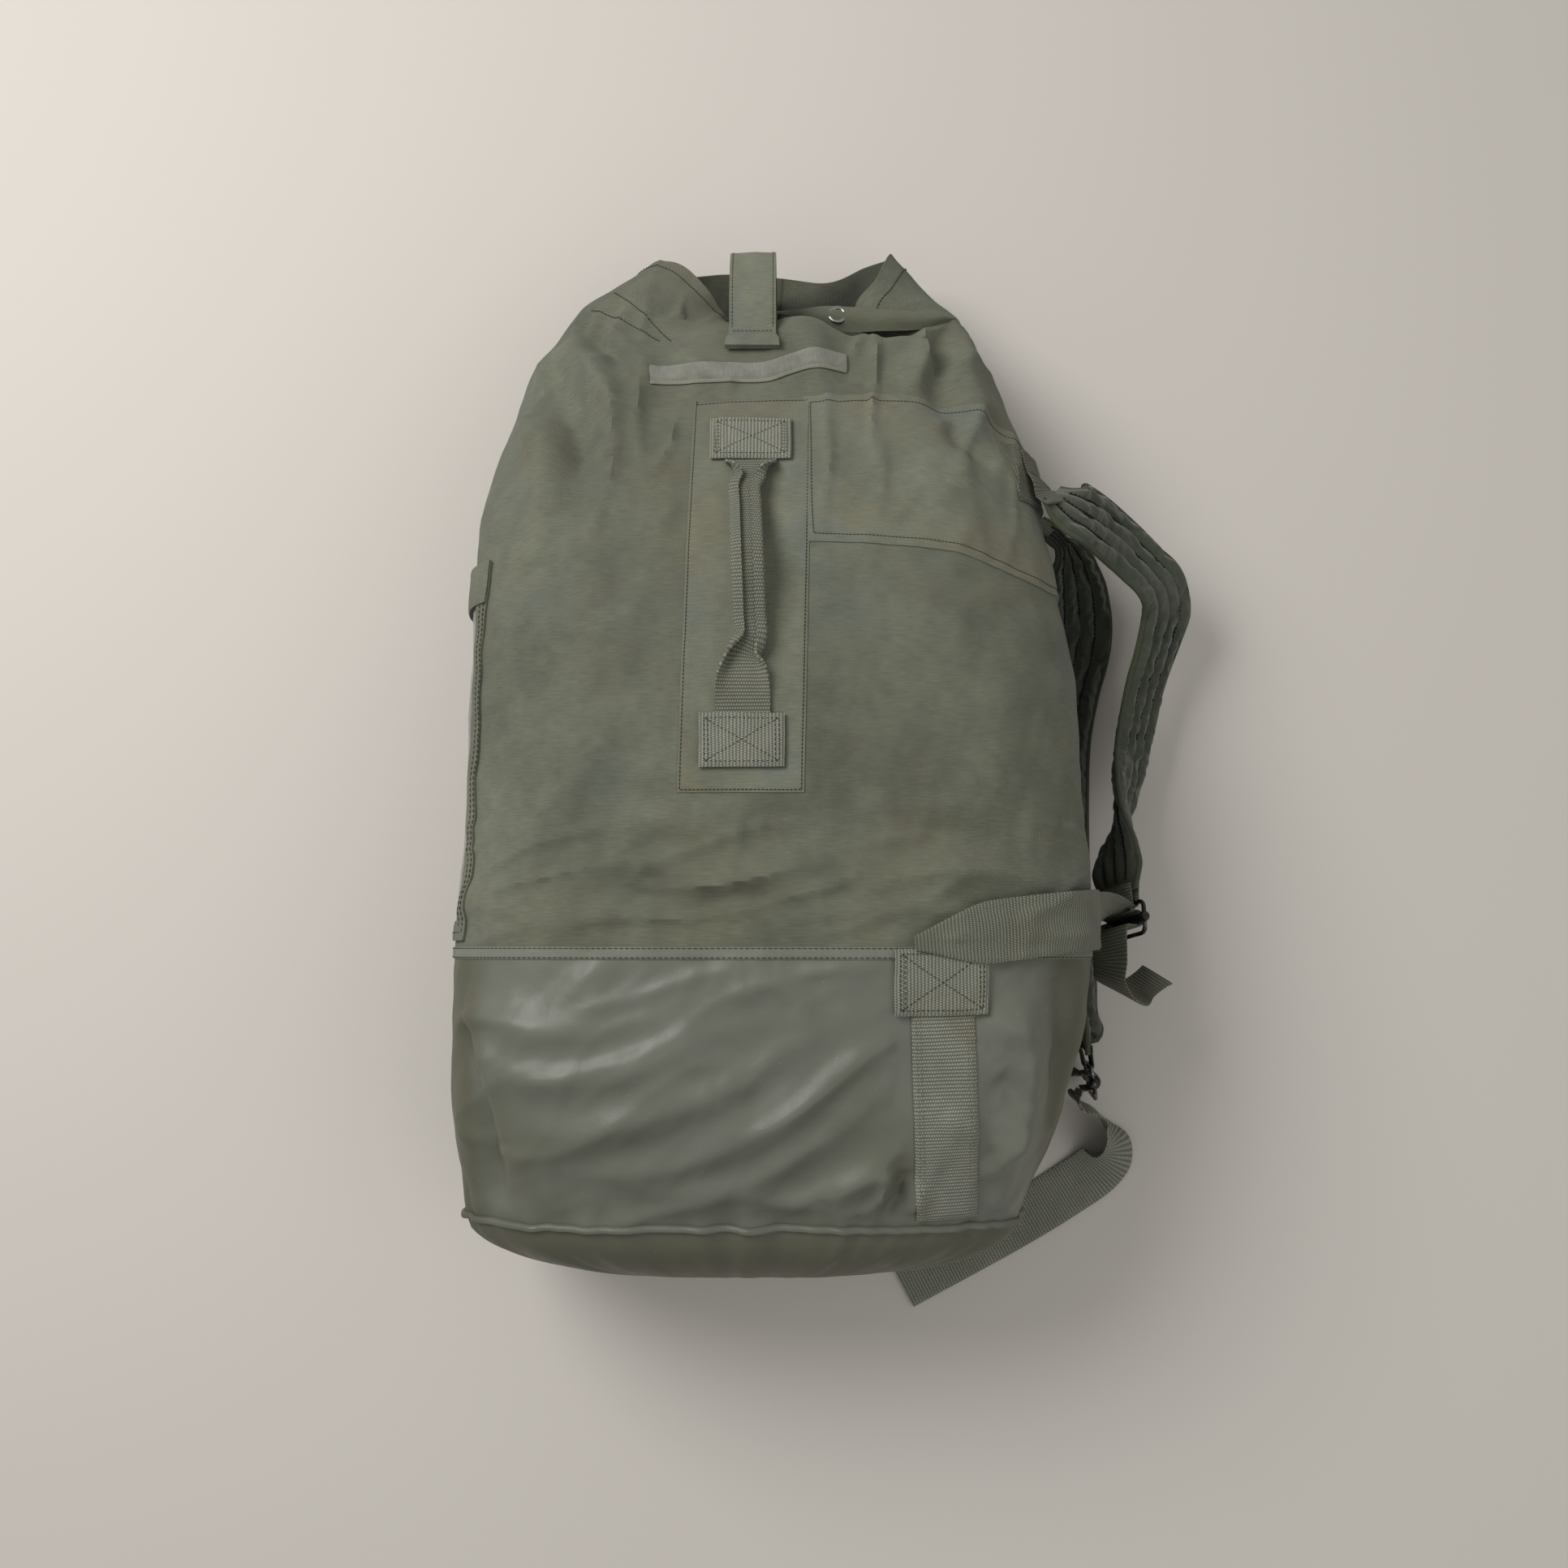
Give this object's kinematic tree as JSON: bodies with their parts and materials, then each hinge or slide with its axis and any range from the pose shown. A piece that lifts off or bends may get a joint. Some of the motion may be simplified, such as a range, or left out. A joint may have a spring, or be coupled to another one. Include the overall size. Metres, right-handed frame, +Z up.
{
  "type": "duffel bag",
  "caption": "Large canvas duffel lying filled on its back, with a coated boot, folded side handle, window pocket, tab-closed mouth and two quilted shoulder straps with wire buckles.",
  "frame": {"origin": "on the floor, under the middle of the filled bag: the middle of the flat underside it lies on (mount floor_rest)", "axes": "+Y from the base to the mouth, +Z up from the floor through the handle face, +X to the side that carries the shoulder straps"},
  "size_m": [0.6071, 0.8929, 0.272],
  "materials": {
    "coated": "coated, satin",
    "canvas": "faded cotton twill",
    "hem_tape": "coated, turned and stitched",
    "webbing": "ribbed webbing, worn",
    "pad_cloth": "quilted nylon, slight sheen",
    "loop_tape": "loop pile",
    "dark_metal": "blackened wire",
    "eyelet_metal": "dull nickel plate",
    "film": "cloudy clear film"
  },
  "bodies": {
    "bag": {"boot": "coated", "base_panel": "coated", "base_piping": "coated", "boot_hem": "hem_tape", "canvas_body": "canvas", "collar": "canvas", "eyelet_1": "eyelet_metal", "eyelet_2": "eyelet_metal", "eyelet_3": "eyelet_metal", "eyelet_4": "eyelet_metal", "tab_root": "canvas", "name_tape": "loop_tape", "handle_panel": "canvas", "handle_anchor_lower": "webbing", "handle_anchor_upper": "webbing", "handle_root_lower": "webbing", "handle_root_upper": "webbing", "strap_side_patch": "canvas", "window_film": "film", "window_frame": "canvas", "strap_yoke": "webbing", "strap_root_right": "webbing", "base_strap_right": "webbing", "lower_anchor_right": "webbing", "adjuster_on_bag_right": "webbing", "strap_root_left": "webbing", "base_strap_left": "webbing", "lower_anchor_left": "webbing", "adjuster_on_bag_left": "webbing"},
    "closure_tab": {"closure_tab": "canvas"},
    "handle": {"handle_grip": "webbing"},
    "window_flap": {"window_flap": "canvas"},
    "strap_right": {"shoulder_pad_right": "pad_cloth", "pad_loop_right": "webbing"},
    "buckle_right": {"buckle_frame_right": "dark_metal", "adjuster_to_buckle_right": "webbing"},
    "bar_right": {"slide_bar_right": "dark_metal"},
    "tail_right": {"web_tail_right": "webbing"},
    "strap_left": {"shoulder_pad_left": "pad_cloth", "pad_loop_left": "webbing"},
    "buckle_left": {"buckle_frame_left": "dark_metal", "adjuster_to_buckle_left": "webbing"},
    "bar_left": {"slide_bar_left": "dark_metal"},
    "tail_left": {"web_tail_left": "webbing"}
  },
  "joints": [
    {"name": "tab_fold", "type": "hinge", "parent": "bag", "child": "closure_tab", "pos_m": [-0.0153, 0.4274, 0.03004], "axis": [-1, 0, 0], "range_deg": [0, 100]},
    {"name": "handle_swing", "type": "hinge", "parent": "bag", "child": "handle", "pos_m": [-0.01431, 0.08595, 0.26628], "axis": [-0.0415, 0.97, -0.2395], "range_deg": [-30, 30]},
    {"name": "flap_lift", "type": "hinge", "parent": "bag", "child": "window_flap", "pos_m": [-0.2433, 0.16, 0.1174], "axis": [0, 0, -1], "range_deg": [0, 50]},
    {"name": "strap_right_lift", "type": "hinge", "parent": "bag", "child": "strap_right", "pos_m": [0.23371, 0.216, 0.16158], "axis": [0.067, -0.9976, -0.0145], "range_deg": [-4, 30], "deforming": ["strap_root_right", "adjuster_to_buckle_right"]},
    {"name": "buckle_right_tilt", "type": "hinge", "parent": "strap_right", "child": "buckle_right", "pos_m": [0.28497, -0.10627, 0.09935], "axis": [-0.4794, -0.1798, -0.859], "range_deg": [-10, 10]},
    {"name": "bar_right_slide", "type": "slide", "parent": "buckle_right", "child": "bar_right", "axis": [-0.002, 0.9798, -0.2], "range_m": [-0.0015, 0.0015]},
    {"name": "tail_right_swing", "type": "hinge", "parent": "buckle_right", "child": "tail_right", "pos_m": [0.285, -0.119, 0.102], "axis": [-0.4794, -0.1798, -0.859], "range_deg": [-10, 10]},
    {"name": "strap_left_lift", "type": "hinge", "parent": "bag", "child": "strap_left", "pos_m": [0.24048, 0.216, 0.07157], "axis": [-0.2113, -0.9718, -0.1047], "range_deg": [0, 11], "deforming": ["strap_root_left", "adjuster_to_buckle_left"]},
    {"name": "buckle_left_tilt", "type": "hinge", "parent": "strap_left", "child": "buckle_left", "pos_m": [0.26717, -0.23713, 0.04208], "axis": [0.1005, 0.0201, -0.9947], "range_deg": [-10, 4]},
    {"name": "bar_left_slide", "type": "slide", "parent": "buckle_left", "child": "bar_left", "axis": [-0.14, 0.9901, 0.01], "range_m": [-0.0015, 0.0015]},
    {"name": "tail_left_swing", "type": "hinge", "parent": "buckle_left", "child": "tail_left", "pos_m": [0.269, -0.25, 0.042], "axis": [0.1005, 0.0201, -0.9947], "range_deg": [-14, 3]}
  ]
}
